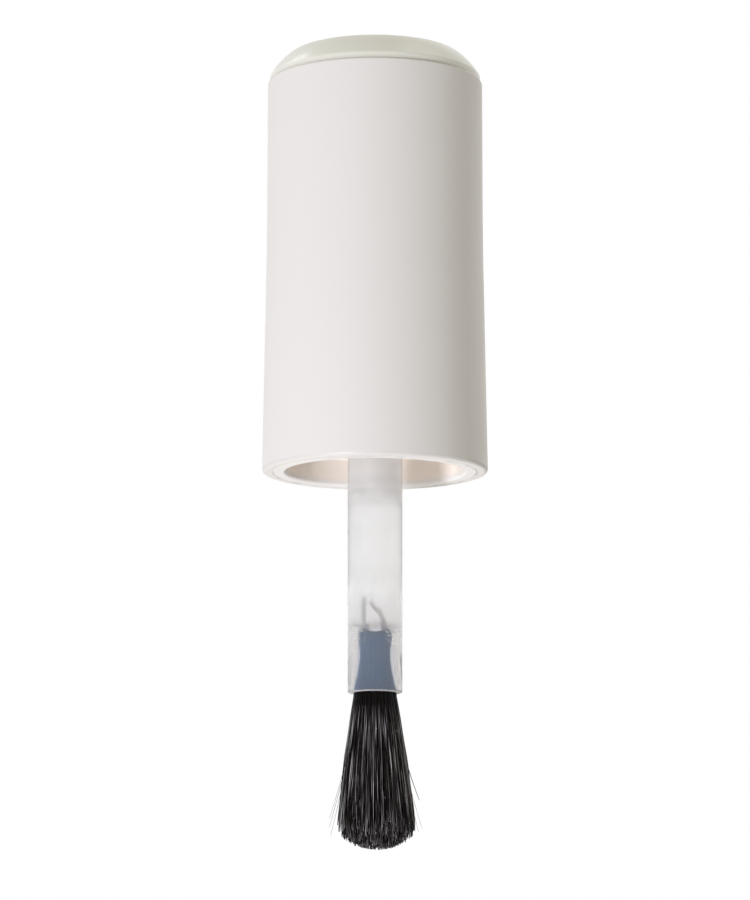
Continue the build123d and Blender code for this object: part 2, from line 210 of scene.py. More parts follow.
def moulded_plastic(name, colour, roughness, grain_depth, speck_strength, seam_radius, inner_shade_tint=None):
    """Satin injection-moulded plastic: an even body colour, the mould's fine grain, and dust specks that
    stick to it. Where its edge meets another piece, at seam_radius, grime gathers in the seam, and edges
    rounded downwards outside it get painted shade. The inner colour, if given, is a painted warm tint for
    what lies more than a fraction of a millimetre above the rim, which stands in for the warm shade there."""
    material = bpy.data.materials.new(name)
    material.use_nodes = True
    tree = material.node_tree
    shader = tree.nodes["Principled BSDF"]
    shader.inputs["IOR"].default_value = 1.53
    place = add_node(tree, "ShaderNodeTexCoord").outputs["Object"]

    grain = add_node(tree, "ShaderNodeTexNoise", {"Vector": place, "Scale": 1 / GRAIN_SIZE, "Detail": 3.0})
    relief = add_node(
        tree, "ShaderNodeBump", {"Height": grain.outputs[0], "Strength": 0.35, "Distance": grain_depth}
    )
    tree.links.new(relief.outputs[0], shader.inputs["Normal"])

    mottle = add_node(tree, "ShaderNodeTexNoise", {"Vector": place, "Scale": 1 / MOTTLE_SIZE, "Detail": 4.0})
    polish = add_node(
        tree,
        "ShaderNodeMapRange",
        {
            "Value": mottle.outputs[0],
            "From Min": 0.3,
            "From Max": 0.7,
            "To Min": roughness - MOTTLE_ROUGHNESS,
            "To Max": roughness + MOTTLE_ROUGHNESS,
        },
    )
    tree.links.new(polish.outputs[0], shader.inputs["Roughness"])

    cells = add_node(tree, "ShaderNodeTexVoronoi", {"Vector": place, "Scale": 1 / SPECK_SPACING})
    speck = add_node(
        tree,
        "ShaderNodeMapRange",
        {
            "Value": cells.outputs["Distance"],
            "From Min": SPECK_RADIUS / SPECK_SPACING,
            "From Max": 0.4 * SPECK_RADIUS / SPECK_SPACING,
            "To Max": speck_strength,
        },
    )

    flat = add_node(tree, "ShaderNodeVectorMath", {0: place, 1: (1, 1, 0)}, operation="MULTIPLY")
    off_axis = add_node(tree, "ShaderNodeVectorMath", {0: flat.outputs[0]}, operation="LENGTH")
    off_axis = off_axis.outputs["Value"]
    height = add_node(tree, "ShaderNodeSeparateXYZ", {0: place}).outputs["Z"]
    from_seam = add_node(tree, "ShaderNodeMath", {0: off_axis, 1: seam_radius}, operation="SUBTRACT")
    from_seam = add_node(tree, "ShaderNodeMath", {0: from_seam.outputs[0]}, operation="ABSOLUTE")
    reach = add_node(tree, "ShaderNodeMath", {0: from_seam.outputs[0], 1: height}, operation="ADD")
    near_seam = add_node(
        tree,
        "ShaderNodeMapRange",
        {"Value": reach.outputs[0], "From Min": GRIME_REACH, "From Max": GRIME_CORE},
    )
    patches = add_node(tree, "ShaderNodeTexNoise", {"Vector": place, "Scale": GRIME_PATCHES, "Detail": 6.0})
    patches = add_node(
        tree,
        "ShaderNodeMapRange",
        {"Value": patches.outputs[0], "From Min": PATCH_EDGE, "From Max": PATCH_CORE},
    )
    grime = add_node(
        tree, "ShaderNodeMath", {0: near_seam.outputs[0], 1: patches.outputs[0]}, operation="MULTIPLY"
    )
    marks = add_node(tree, "ShaderNodeMath", {0: grime.outputs[0], 1: speck.outputs[0]}, operation="MAXIMUM")

    # painted shade tint: above the rim the colour turns to the warm tint given for the bore
    above_rim = add_node(
        tree,
        "ShaderNodeMapRange",
        {"Value": height, "From Min": INNER_SHADE_TINT_FROM, "From Max": INNER_SHADE_TINT_FULL},
    )
    body = add_node(
        tree,
        "ShaderNodeMix",
        data_type="RGBA",
        inputs={0: above_rim.outputs[0], 6: linear(colour), 7: linear(inner_shade_tint or colour)},
    )
    finish = add_node(
        tree,
        "ShaderNodeMix",
        data_type="RGBA",
        inputs={0: marks.outputs[0], 6: body.outputs[2], 7: linear(GRIME_COLOUR)},
    )

    # painted shade: edges that are rounded downwards, outside the seam, are darkened where the low lamp
    # lights them brightest
    facing = add_node(tree, "ShaderNodeTexCoord").outputs["Normal"]
    facing = add_node(tree, "ShaderNodeSeparateXYZ", {0: facing}).outputs["Z"]
    downward = add_node(tree, "ShaderNodeMath", {0: facing, 1: -1.0}, operation="MULTIPLY").outputs[0]
    levelled = add_node(tree, "ShaderNodeMath", {0: 1.0, 1: downward}, operation="SUBTRACT").outputs[0]
    rounded = add_node(tree, "ShaderNodeMath", {0: downward, 1: levelled}, operation="MULTIPLY").outputs[0]
    outside = add_node(tree, "ShaderNodeMath", {0: off_axis, 1: seam_radius}, operation="GREATER_THAN")
    rounded = add_node(tree, "ShaderNodeMath", {0: rounded, 1: outside.outputs[0]}, operation="MULTIPLY")
    edge_shade = add_node(
        tree, "ShaderNodeMapRange", {"Value": rounded.outputs[0], "From Max": EDGE_SHADE_FULL}
    ).outputs[0]
    edge_shaded = add_node(
        tree,
        "ShaderNodeMix",
        data_type="RGBA",
        blend_type="MULTIPLY",
        inputs={0: edge_shade, 6: finish.outputs[2], 7: linear(EDGE_PAINTED_SHADE)},
    )
    tree.links.new(edge_shaded.outputs[2], shader.inputs["Base Color"])
    return material


def finish_cad_node(name, material):
    """Gives a piece that keeps its modelled shape its real finish."""
    cad[name].data.materials.clear()
    cad[name].data.materials.append(material)


shell_plastic = moulded_plastic(
    "moulded_abs_white", SHELL_COLOUR, SHELL_ROUGHNESS, SHELL_GRAIN_DEPTH, SHELL_SPECKS, SHELL_SEAM_RADIUS
)
finish_cad_node("outer_shell", shell_plastic)


# End plug: the bevelled disc snapped in the top of the shell. It is moulded apart, of a natural
# polypropylene that is a little yellower than the shell.
PLUG_COLOUR = "#eaebe1"
PLUG_ROUGHNESS = 0.3
PLUG_GRAIN_DEPTH = 0.00001
PLUG_SPECKS = 0.2
GROOVE_PAINTED_SHADE = "#dedcd3"  # painted shade in the groove over the shell's edge
GROOVE_SHADE_HEIGHT = 0.00016
plug_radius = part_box("end_plug")[1].x
shell_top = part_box("outer_shell")[1].z
plug_plastic = moulded_plastic(
    "moulded_polypropylene", PLUG_COLOUR, PLUG_ROUGHNESS, PLUG_GRAIN_DEPTH, PLUG_SPECKS, plug_radius
)
plug_tree = plug_plastic.node_tree
plug_shader = plug_tree.nodes["Principled BSDF"]
# its mould was polished, so the bevel shines more than the shell
plug_shader.inputs["IOR"].default_value = 1.8
plug_shader.inputs["Coat Weight"].default_value = 0.5
plug_shader.inputs["Coat Roughness"].default_value = 0.25
plug_place = add_node(plug_tree, "ShaderNodeTexCoord").outputs["Object"]
plug_height = add_node(plug_tree, "ShaderNodeSeparateXYZ", {0: plug_place}).outputs["Z"]
# painted shade: a thin band of the plug just over the shell's top edge is darkened, where the groove lies in
# shade
in_shaded_groove = add_node(
    plug_tree,
    "ShaderNodeMapRange",
    {
        "Value": plug_height,
        "From Min": shell_top + 1.4 * GROOVE_SHADE_HEIGHT,
        "From Max": shell_top + 0.9 * GROOVE_SHADE_HEIGHT,
    },
)
plug_groove_shaded = add_node(
    plug_tree,
    "ShaderNodeMix",
    data_type="RGBA",
    inputs={
        0: in_shaded_groove.outputs[0],
        6: plug_shader.inputs["Base Color"].links[0].from_socket,
        7: linear(GROOVE_PAINTED_SHADE),
    },
)
plug_tree.links.new(plug_groove_shaded.outputs[2], plug_shader.inputs["Base Color"])
finish_cad_node("end_plug", plug_plastic)


# Inner cap: the liner that holds the thread, moulded in a soft, duller polypropylene and pressed into the
# shell. Only its white foot and the bore above it show in the mouth; the bore has a painted warm tint,
# which stands in for the warm shade inside the mouth.
LINER_COLOUR = "#f4f4f3"
# painted warm tint for the bore, which stands in for the warm shade inside the mouth
LINER_BORE_SHADE_TINT = "#fff7ee"
LINER_ROUGHNESS = 0.55
LINER_GRAIN_DEPTH = 0.00001
LINER_SPECKS = 0.2
liner_plastic = moulded_plastic(
    "moulded_liner",
    LINER_COLOUR,
    LINER_ROUGHNESS,
    LINER_GRAIN_DEPTH,
    LINER_SPECKS,
    SHELL_SEAM_RADIUS,
    inner_shade_tint=LINER_BORE_SHADE_TINT,
)
finish_cad_node("inner_cap", liner_plastic)


# Sealing washer: a ring punched from expanded polyethylene foam sheet and pushed over the stem, up to the
# liner's roof. The bottle's lip presses into it. Its cut face shows fine closed bubbles.
FOAM_COLOUR = "#ecebe8"
BUBBLE_SIZE = 0.00025
BUBBLE_DEPTH = 0.00005
foam = bpy.data.materials.new("polyethylene_foam")
foam.use_nodes = True
foam_tree = foam.node_tree
foam_shader = foam_tree.nodes["Principled BSDF"]
foam_shader.inputs["Roughness"].default_value = 0.8
foam_shader.inputs["Base Color"].default_value = linear(FOAM_COLOUR)
foam_place = add_node(foam_tree, "ShaderNodeTexCoord").outputs["Object"]
bubbles = add_node(foam_tree, "ShaderNodeTexVoronoi", {"Vector": foam_place, "Scale": 1 / BUBBLE_SIZE})
dimples = add_node(
    foam_tree,
    "ShaderNodeBump",
    {"Height": bubbles.outputs["Distance"], "Strength": 0.6, "Distance": BUBBLE_DEPTH},
)
foam_tree.links.new(dimples.outputs[0], foam_shader.inputs["Normal"])
finish_cad_node("seal_washer", foam)


# Brush stem: the frosted wand, moulded in natural low-density polyethylene. The plastic is milky where it
# is solid. Round the thin socket at its tip it is clearer and scatters blue in front of the dark bristles.
STEM_SCATTER_DEPTH = 0.012
STEM_MILK = "#fdfcfc"
TIP_MILK = "#dedbda"
SOCKET_MILK = "#eaf0fa"
MILK_TURNS_FROM = 0.0034  # the plastic turns from the tip's tone to the stem's between these heights
MILK_TURNS_TO = 0.0074
SOCKET_WALL_RADIUS = 0.00166
LIP_HEIGHT = 0.00003  # the cut end is dull white
DULL_END_FROM = 0.0048  # so is the hollow's end, in part
DULL_END_FULL = 0.0050
DULL_END_SHARE = 0.25
CRUMB_COLOUR = "#ffffff"
CRUMB_SIZE = 0.00018
CRUMB_EDGE = 0.56
CRUMB_CORE = 0.62
CRUMBS_FROM = 0.0030  # they lie over the wire's legs, above this height and this far to each side
CRUMBS_FULL = 0.0040
CRUMBS_ASIDE = 0.00095
CRUMBS_SPREAD = 0.0003
# by distance from the stem's tip: how clear the plastic is, and how rough its surface
STEM_CLARITY = [
    (0.0, 0.0, 0.4),
    (LIP_HEIGHT, 0.0, 0.4),
    (0.0001, 0.92, 0.08),
    (0.0042, 0.905, 0.06),
    (0.0056, 0.72, 0.06),
    (0.0073, 0.70, 0.1),
    (0.0092, 0.74, 0.25),
    (0.0120, 0.78, 0.25),
    (0.0140, 0.74, 0.25),
    (0.0149, 0.48, 0.25),
    (0.0154, 0.30, 0.25),
    (0.0166, 0.14, 0.25),
]
stem_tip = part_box("brush_stem")[0].z
polyethylene = bpy.data.materials.new("natural_polyethylene")
polyethylene.use_nodes = True
stem_tree = polyethylene.node_tree
stem_shader = stem_tree.nodes["Principled BSDF"]
stem_shader.inputs["IOR"].default_value = 1.5
stem_shader.inputs["Specular IOR Level"].default_value = 1.0
stem_shader.inputs["Subsurface Radius"].default_value = (1.0, 0.97, 0.95)
stem_shader.inputs["Subsurface Scale"].default_value = STEM_SCATTER_DEPTH
stem_place = add_node(stem_tree, "ShaderNodeTexCoord").outputs["Object"]
stem_height = add_node(stem_tree, "ShaderNodeSeparateXYZ", {0: stem_place}).outputs["Z"]
from_tip = add_node(stem_tree, "ShaderNodeMath", {0: stem_height, 1: stem_tip}, operation="SUBTRACT")
from_tip = from_tip.outputs[0]
clear_end = STEM_CLARITY[-1][0]
along = add_node(stem_tree, "ShaderNodeMapRange", {"Value": from_tip, "From Max": clear_end})
clarity = add_node(stem_tree, "ShaderNodeValToRGB", {"Fac": along.outputs[0]})
clarity.color_ramp.interpolation = "EASE"
while len(clarity.color_ramp.elements) < len(STEM_CLARITY):
    clarity.color_ramp.elements.new(0.5)
for step, (distance, clear_share, roughness) in zip(clarity.color_ramp.elements, STEM_CLARITY):
    step.position = distance / clear_end
    step.color = (clear_share, roughness, 0, 1)
clarity = add_node(stem_tree, "ShaderNodeSeparateColor", {0: clarity.outputs["Color"]}).outputs
level = add_node(stem_tree, "ShaderNodeVectorMath", {0: stem_place, 1: (1, 1, 0)}, operation="MULTIPLY")
off_axis = add_node(stem_tree, "ShaderNodeVectorMath", {0: level.outputs[0]}, operation="LENGTH")
in_socket = add_node(
    stem_tree, "ShaderNodeMath", {0: off_axis.outputs["Value"], 1: SOCKET_WALL_RADIUS}, operation="LESS_THAN"
)
over_socket = add_node(
    stem_tree,
    "ShaderNodeMapRange",
    interpolation_type="SMOOTHSTEP",
    inputs={"Value": from_tip, "From Min": MILK_TURNS_FROM, "From Max": MILK_TURNS_TO},
)
milk = add_node(
    stem_tree,
    "ShaderNodeMix",
    data_type="RGBA",
    inputs={0: over_socket.outputs[0], 6: linear(TIP_MILK), 7: linear(STEM_MILK)},
)
milk = add_node(
    stem_tree,
    "ShaderNodeMix",
    data_type="RGBA",
    inputs={0: in_socket.outputs[0], 6: milk.outputs[2], 7: linear(SOCKET_MILK)},
)
# the socket's end is dull, and the wire's legs scuffed white crumbs off it as they were pressed in
near_legs = add_node(
    stem_tree, "ShaderNodeMapRange", {"Value": from_tip, "From Min": CRUMBS_FROM, "From Max": CRUMBS_FULL}
)
aside = add_node(stem_tree, "ShaderNodeSeparateXYZ", {0: stem_place}).outputs["X"]
aside = add_node(stem_tree, "ShaderNodeMath", {0: aside}, operation="ABSOLUTE").outputs[0]
aside = add_node(
    stem_tree, "ShaderNodeMath", {0: aside, 1: CRUMBS_ASIDE, 2: CRUMBS_SPREAD}, operation="COMPARE"
).outputs[0]
near_legs = add_node(
    stem_tree, "ShaderNodeMath", {0: near_legs.outputs[0], 1: aside}, operation="MULTIPLY"
)
crumbs = add_node(
    stem_tree, "ShaderNodeTexNoise", {"Vector": stem_place, "Scale": 1 / CRUMB_SIZE, "Detail": 3.0}
)
crumbs = add_node(
    stem_tree,
    "ShaderNodeMapRange",
    {"Value": crumbs.outputs[0], "From Min": CRUMB_EDGE, "From Max": CRUMB_CORE},
)
scuff = add_node(
    stem_tree, "ShaderNodeMath", {0: near_legs.outputs[0], 1: crumbs.outputs[0]}, operation="MULTIPLY"
)
dull_end = add_node(
    stem_tree,
    "ShaderNodeMapRange",
    {"Value": from_tip, "From Min": DULL_END_FROM, "From Max": DULL_END_FULL, "To Max": DULL_END_SHARE},
)
scuff = add_node(
    stem_tree, "ShaderNodeMath", {0: scuff.outputs[0], 1: dull_end.outputs[0]}, operation="MAXIMUM"
)
scuff = add_node(
    stem_tree, "ShaderNodeMath", {0: scuff.outputs[0], 1: in_socket.outputs[0]}, operation="MULTIPLY"
)
tone = add_node(
    stem_tree,
    "ShaderNodeMix",
    data_type="RGBA",
    inputs={0: scuff.outputs[0], 6: milk.outputs[2], 7: linear(CRUMB_COLOUR)},
)
unscuffed = add_node(stem_tree, "ShaderNodeMath", {0: 1.0, 1: scuff.outputs[0]}, operation="SUBTRACT")
clear = add_node(
    stem_tree, "ShaderNodeMath", {0: clarity["Red"], 1: unscuffed.outputs[0]}, operation="MULTIPLY"
)
stem_tree.links.new(clarity["Green"], stem_shader.inputs["Roughness"])
milky = add_node(stem_tree, "ShaderNodeMath", {0: from_tip, 1: LIP_HEIGHT}, operation="GREATER_THAN")
stem_tree.links.new(milky.outputs[0], stem_shader.inputs["Subsurface Weight"])
stem_tree.links.new(clear.outputs[0], stem_shader.inputs["Transmission Weight"])
stem_tree.links.new(tone.outputs[2], stem_shader.inputs["Base Color"])
finish_cad_node("brush_stem", polyethylene)


# Anchor wire: a short length of drawn spring steel, bent to a loop. The bundle is folded over it, and its
# two legs are pressed up into the stem, which holds the bristles. Drawing left fine marks along it.
STEEL_COLOUR = "#c9c8c6"
MARKS_ACROSS = 30000.0  # draw marks in a metre, round the wire and along it
MARKS_ALONG = 1500.0
MARK_DEPTH = 0.000005
steel = bpy.data.materials.new("drawn_spring_steel")
steel.use_nodes = True
steel_tree = steel.node_tree
steel_shader = steel_tree.nodes["Principled BSDF"]
steel_shader.inputs["Base Color"].default_value = linear(STEEL_COLOUR)
steel_shader.inputs["Metallic"].default_value = 1.0
steel_shader.inputs["Roughness"].default_value = 0.35
steel_place = add_node(steel_tree, "ShaderNodeTexCoord").outputs["Object"]
along_wire = add_node(
    steel_tree,
    "ShaderNodeMapping",
    {"Vector": steel_place, "Scale": (MARKS_ACROSS, MARKS_ACROSS, MARKS_ALONG)},
)
draw_marks = add_node(steel_tree, "ShaderNodeTexNoise", {"Vector": along_wire.outputs[0], "Scale": 1.0})
draw_relief = add_node(
    steel_tree, "ShaderNodeBump", {"Height": draw_marks.outputs[0], "Strength": 0.3, "Distance": MARK_DEPTH}
)
steel_tree.links.new(draw_relief.outputs[0], steel_shader.inputs["Normal"])
finish_cad_node("anchor_wire", steel)


# Bristles: several hundred black nylon filaments, folded double over the wire. The fold and the squeezed
# roots fill the socket. Below the tip they spread to a flared tuft that is trimmed to a dome.
BRISTLE_PAIRS = 400
BRISTLE_RADIUS = 0.000052
NYLON_COLOUR = "#0b0706"
NYLON_PAINTED_GLINT = "#e2dfe2"
NYLON_PAINTED_HAZE = "#517da6"  # painted haze: the black roots inside the socket are coloured blue-grey for the light the milky stem scatters in front of them
GLINT_LENGTH = 0.0034  # painted glints: pale stretches this long along a filament, which stand in for its highlights
GLINTS_AROUND = 1.9
GLINT_EDGE = 0.59  # a painted glint fades in between these levels of the pattern
GLINT_CORE = 0.69
FILAMENT_SPREAD = 900.0  # gives each filament painted glints of its own
GLINTS_FROM = 0.0009  # the painted glints start a little below the stem
GLINTS_FULL = 0.0026
DUST_COLOUR = "#d9d6d2"
DUST_SPACING = 0.0007
DUST_EDGE = 0.075  # size of a speck, as shares of the spacing
DUST_CORE = 0.045
SLICKEST = 0.16  # roughness of the most and the least polished filament
DULLEST = 0.4

# extruded nylon is deep black and slick, with a few specks of dust; pale stretches along the filaments are
# painted glints that stand in for highlights
nylon = bpy.data.materials.new("extruded_black_nylon")
nylon.use_nodes = True
nylon_tree = nylon.node_tree
nylon_shader = nylon_tree.nodes["Principled BSDF"]
nylon_shader.inputs["IOR"].default_value = 1.53
nylon_shader.inputs["Specular IOR Level"].default_value = 0.1
nylon_place = add_node(nylon_tree, "ShaderNodeTexCoord").outputs["Object"]
each = add_node(nylon_tree, "ShaderNodeAttribute", attribute_name="bristle_shade").outputs["Fac"]
nylon_height = add_node(nylon_tree, "ShaderNodeSeparateXYZ", {0: nylon_place}).outputs["Z"]
side_of_filament = add_node(nylon_tree, "ShaderNodeAttribute", attribute_name="bristle_side")
own_pattern = add_node(nylon_tree, "ShaderNodeMath", {0: each, 1: FILAMENT_SPREAD}, operation="MULTIPLY")
along_filament = add_node(
    nylon_tree, "ShaderNodeMath", {0: nylon_height, 1: GLINT_LENGTH}, operation="DIVIDE"
)
strand = add_node(
    nylon_tree, "ShaderNodeCombineXYZ", {"X": own_pattern.outputs[0], "Z": along_filament.outputs[0]}
)
strand = add_node(
    nylon_tree,
    "ShaderNodeVectorMath",
    {
        0: side_of_filament.outputs["Vector"],
        1: (GLINTS_AROUND, GLINTS_AROUND, 0),
        2: strand.outputs[0],
    },
    operation="MULTIPLY_ADD",
)
# painted highlight: pale glints mixed into the black nylon along each filament
glint_noise = add_node(
    nylon_tree, "ShaderNodeTexNoise", {"Vector": strand.outputs[0], "Scale": 1.0, "Detail": 1.0}
)
glint = add_node(
    nylon_tree,
    "ShaderNodeMapRange",
    {"Value": glint_noise.outputs[0], "From Min": GLINT_EDGE, "From Max": GLINT_CORE},
)
glint_reach = add_node(
    nylon_tree,
    "ShaderNodeMapRange",
    {"Value": nylon_height, "From Min": stem_tip - GLINTS_FROM, "From Max": stem_tip - GLINTS_FULL},
)
glint = add_node(
    nylon_tree, "ShaderNodeMath", {0: glint.outputs[0], 1: glint_reach.outputs[0]}, operation="MULTIPLY"
)
nylon_with_painted_light = add_node(
    nylon_tree,
    "ShaderNodeMix",
    data_type="RGBA",
    inputs={0: glint.outputs[0], 6: linear(NYLON_COLOUR), 7: linear(NYLON_PAINTED_GLINT)},
)
# painted haze: the nylon inside the socket, above the stem's tip, turns blue-grey
hazed_roots = add_node(nylon_tree, "ShaderNodeMath", {0: nylon_height, 1: stem_tip}, operation="GREATER_THAN")
nylon_with_painted_light = add_node(
    nylon_tree,
    "ShaderNodeMix",
    data_type="RGBA",
    inputs={0: hazed_roots.outputs[0], 6: nylon_with_painted_light.outputs[2], 7: linear(NYLON_PAINTED_HAZE)},
)
dust_cells = add_node(
    nylon_tree, "ShaderNodeTexVoronoi", {"Vector": nylon_place, "Scale": 1 / DUST_SPACING}
)
dust = add_node(
    nylon_tree,
    "ShaderNodeMapRange",
    {"Value": dust_cells.outputs["Distance"], "From Min": DUST_EDGE, "From Max": DUST_CORE},
)
dusty = add_node(
    nylon_tree,
    "ShaderNodeMix",
    data_type="RGBA",
    inputs={0: dust.outputs[0], 6: nylon_with_painted_light.outputs[2], 7: linear(DUST_COLOUR)},
)
nylon_tree.links.new(dusty.outputs[2], nylon_shader.inputs["Base Color"])
gloss = add_node(nylon_tree, "ShaderNodeMapRange", {"Value": each, "To Min": SLICKEST, "To Max": DULLEST})
nylon_tree.links.new(gloss.outputs[0], nylon_shader.inputs["Roughness"])


FILAMENT_SIDES = 6
SHADE_SEED = 5
GOLDEN_SHARE = 0.618034  # of a turn, from one filament to the next, which spreads them evenly


def start_tree(name, sizes):
    """A Geometry Nodes tree with these named inputs, and one geometry output. Returns it and its inputs."""
    tree = bpy.data.node_groups.new(name, "GeometryNodeTree")
    for label, value in sizes.items():
        kind = "NodeSocketInt" if isinstance(value, int) else "NodeSocketFloat"
        tree.interface.new_socket(label, in_out="INPUT", socket_type=kind)
    tree.interface.new_socket("Bristles", in_out="OUTPUT", socket_type="NodeSocketGeometry")
    return tree, add_node(tree, "NodeGroupInput").outputs


def blank_filaments(tree, count, points):
    """Copies of one straight line, a line for each filament. Also gives each point's filament number and
    its share of the way along."""
    line = add_node(tree, "GeometryNodeCurvePrimitiveLine").outputs[0]
    line = add_node(tree, "GeometryNodeResampleCurve", {"Curve": line, "Count": points}).outputs[0]
    spots = add_node(tree, "GeometryNodePoints", {"Count": count}).outputs[0]
    lines = add_node(tree, "GeometryNodeInstanceOnPoints", {"Points": spots, "Instance": line}).outputs[0]
    lines = add_node(tree, "GeometryNodeRealizeInstances", {"Geometry": lines}).outputs[0]
    number = add_node(tree, "GeometryNodeCurveOfPoint").outputs["Curve Index"]
    share = add_node(tree, "GeometryNodeSplineParameter").outputs["Factor"]
    return lines, number, share


def skin_filaments(tree, lines, places, radius, number):
    """Puts the lines' points in their places, and gives each line its round nylon body."""
    lines = add_node(tree, "GeometryNodeSetPosition", {"Geometry": lines, "Position": places}).outputs[0]
    shade = add_node(tree, "FunctionNodeRandomValue", {"ID": number, "Seed": SHADE_SEED}).outputs[1]
    lines = add_node(
        tree, "GeometryNodeStoreNamedAttribute", {"Geometry": lines, "Name": "bristle_shade", "Value": shade}
    ).outputs[0]
    ring = add_node(
        tree, "GeometryNodeCurvePrimitiveCircle", {"Resolution": FILAMENT_SIDES, "Radius": 1.0}
    ).outputs[0]
    ring_place = add_node(tree, "GeometryNodeInputPosition").outputs[0]
    ring = add_node(
        tree,
        "GeometryNodeStoreNamedAttribute",
        data_type="FLOAT_VECTOR",
        inputs={"Geometry": ring, "Name": "bristle_side", "Value": ring_place},
    ).outputs[0]
    body = add_node(
        tree,
        "GeometryNodeCurveToMesh",
        {"Curve": lines, "Profile Curve": ring, "Scale": radius, "Fill Caps": True},
    ).outputs[0]
    body = add_node(tree, "GeometryNodeSetShadeSmooth", {"Geometry": body}).outputs[0]
    body = add_node(tree, "GeometryNodeRealizeInstances", {"Geometry": body}).outputs[0]
    body = add_node(tree, "GeometryNodeSetMaterial", {"Geometry": body, "Material": nylon}).outputs[0]
    add_node(tree, "NodeGroupOutput", {"Bristles": body})


def grow(name, tree, sizes):
    """Runs a tree with these sizes, and keeps what it makes as a plain mesh."""
    piece = bpy.data.objects.new(name, bpy.data.meshes.new(name))
    scene.collection.objects.link(piece)
    growth = piece.modifiers.new("growth", "NODES")
    growth.node_group = tree
    for item in tree.interface.items_tree:
        if item.in_out == "INPUT":
            growth[item.identifier] = sizes[item.name]
    bpy.context.view_layer.update()
    grown = bpy.data.meshes.new_from_object(piece.evaluated_get(bpy.context.evaluated_depsgraph_get()))
    piece.modifiers.clear()
    piece.data = grown
    return piece


# Free length of the bristles: the tuft below the stem's tip, which carries the varnish. Squeezed at the
# socket's mouth, the filaments flare and part into locks. They are trimmed to a dome and ground to a taper.
tuft_low, tuft_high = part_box("bristle_tuft")
# each parting between two locks: its direction round the axis in degrees, and its share of the full depth
PARTINGS = [
    (20, 0.75),
    (54, 1.0),
    (87, 0.8),
    (122, 0.95),
    (158, 0.7),
    (196, 0.85),
    (235, 1.0),
    (281, 0.9),
    (313, 1.0),
    (347, 0.8),
]
PARTING_ANGLE = math.radians(66)
TUFT_POINTS = 15  # along each filament
OWN_WAY_SEED = 3
CUT_EVENNESS = 3.0  # the higher, the fewer filaments are cut short
LOCK_WAVES = 3.2  # about this many waves of lean over the tuft's radius
TAPER_STARTS = 0.9
TAPER_END = 0.6
tuft_sizes = {
    "Pairs": BRISTLE_PAIRS,
    "Mouth Radius": 0.00153,
    "End Radius": tuft_high.x - BRISTLE_RADIUS,
    "Widest Drop": 0.0097,
    "Length": stem_tip - tuft_low.z,
    "Side Bulge": 0.00008,
    "Parting Start": 0.0024,
    "Parting Depth": 0.00042,
    "Inset": 0.0004,
    "Raggedness": 0.00022,
    "Clumping": 0.00034,
    "Straying": 0.00011,
    "Lean": 0.00016,
    "Bristle Radius": BRISTLE_RADIUS,
    "Seed": 11,
}
tree, size = start_tree("free_bristles", tuft_sizes)
pairs_twice = add_node(tree, "ShaderNodeMath", {0: size["Pairs"], 1: 2.0}, operation="MULTIPLY").outputs[0]
lines, number, share = blank_filaments(tree, pairs_twice, TUFT_POINTS)

# each pair of roots stands mirrored about the wire, spread evenly over the socket's mouth
pair = add_node(tree, "ShaderNodeMath", {0: number, 1: size["Pairs"]}, operation="MODULO").outputs[0]
second = add_node(tree, "ShaderNodeMath", {0: number, 1: size["Pairs"]}, operation="DIVIDE").outputs[0]
second = add_node(tree, "ShaderNodeMath", {0: second}, operation="FLOOR").outputs[0]
rank = add_node(tree, "ShaderNodeMath", {0: pair, 1: 0.5}, operation="ADD").outputs[0]
rank = add_node(tree, "ShaderNodeMath", {0: rank, 1: size["Pairs"]}, operation="DIVIDE").outputs[0]
outward = add_node(tree, "ShaderNodeMath", {0: rank}, operation="SQRT").outputs[0]
turn = add_node(tree, "ShaderNodeMath", {0: pair, 1: GOLDEN_SHARE}, operation="MULTIPLY").outputs[0]
turn = add_node(tree, "ShaderNodeMath", {0: turn}, operation="FRACT").outputs[0]
turn = add_node(tree, "ShaderNodeMath", {0: turn, 1: second}, operation="ADD").outputs[0]
turn = add_node(tree, "ShaderNodeMath", {0: turn, 1: math.pi}, operation="MULTIPLY").outputs[0]

# the trimmed dome sets how far each filament reaches
inner = add_node(tree, "ShaderNodeMath", {0: 1.0, 1: rank}, operation="SUBTRACT").outputs[0]
dome = add_node(tree, "ShaderNodeMath", {0: inner}, operation="SQRT").outputs[0]
dome_height = add_node(
    tree, "ShaderNodeMath", {0: size["Length"], 1: size["Widest Drop"]}, operation="SUBTRACT"
).outputs[0]
reach = add_node(
    tree,
    "ShaderNodeMath",
    {0: dome, 1: dome_height, 2: size["Widest Drop"]},
    operation="MULTIPLY_ADD",
).outputs[0]
cut = add_node(tree, "FunctionNodeRandomValue", {"ID": number, "Seed": size["Seed"]}).outputs[1]
cut = add_node(tree, "ShaderNodeMath", {0: cut, 1: CUT_EVENNESS}, operation="POWER").outputs[0]
cut = add_node(tree, "ShaderNodeMath", {0: cut, 1: size["Raggedness"]}, operation="MULTIPLY").outputs[0]
reach = add_node(tree, "ShaderNodeMath", {0: reach, 1: cut}, operation="SUBTRACT").outputs[0]

# each filament starts a little way up inside the socket
whole = add_node(tree, "ShaderNodeMath", {0: reach, 1: size["Inset"]}, operation="ADD").outputs[0]
drop = add_node(tree, "ShaderNodeMath", {0: share, 1: whole}, operation="MULTIPLY").outputs[0]
drop = add_node(tree, "ShaderNodeMath", {0: drop, 1: size["Inset"]}, operation="SUBTRACT").outputs[0]

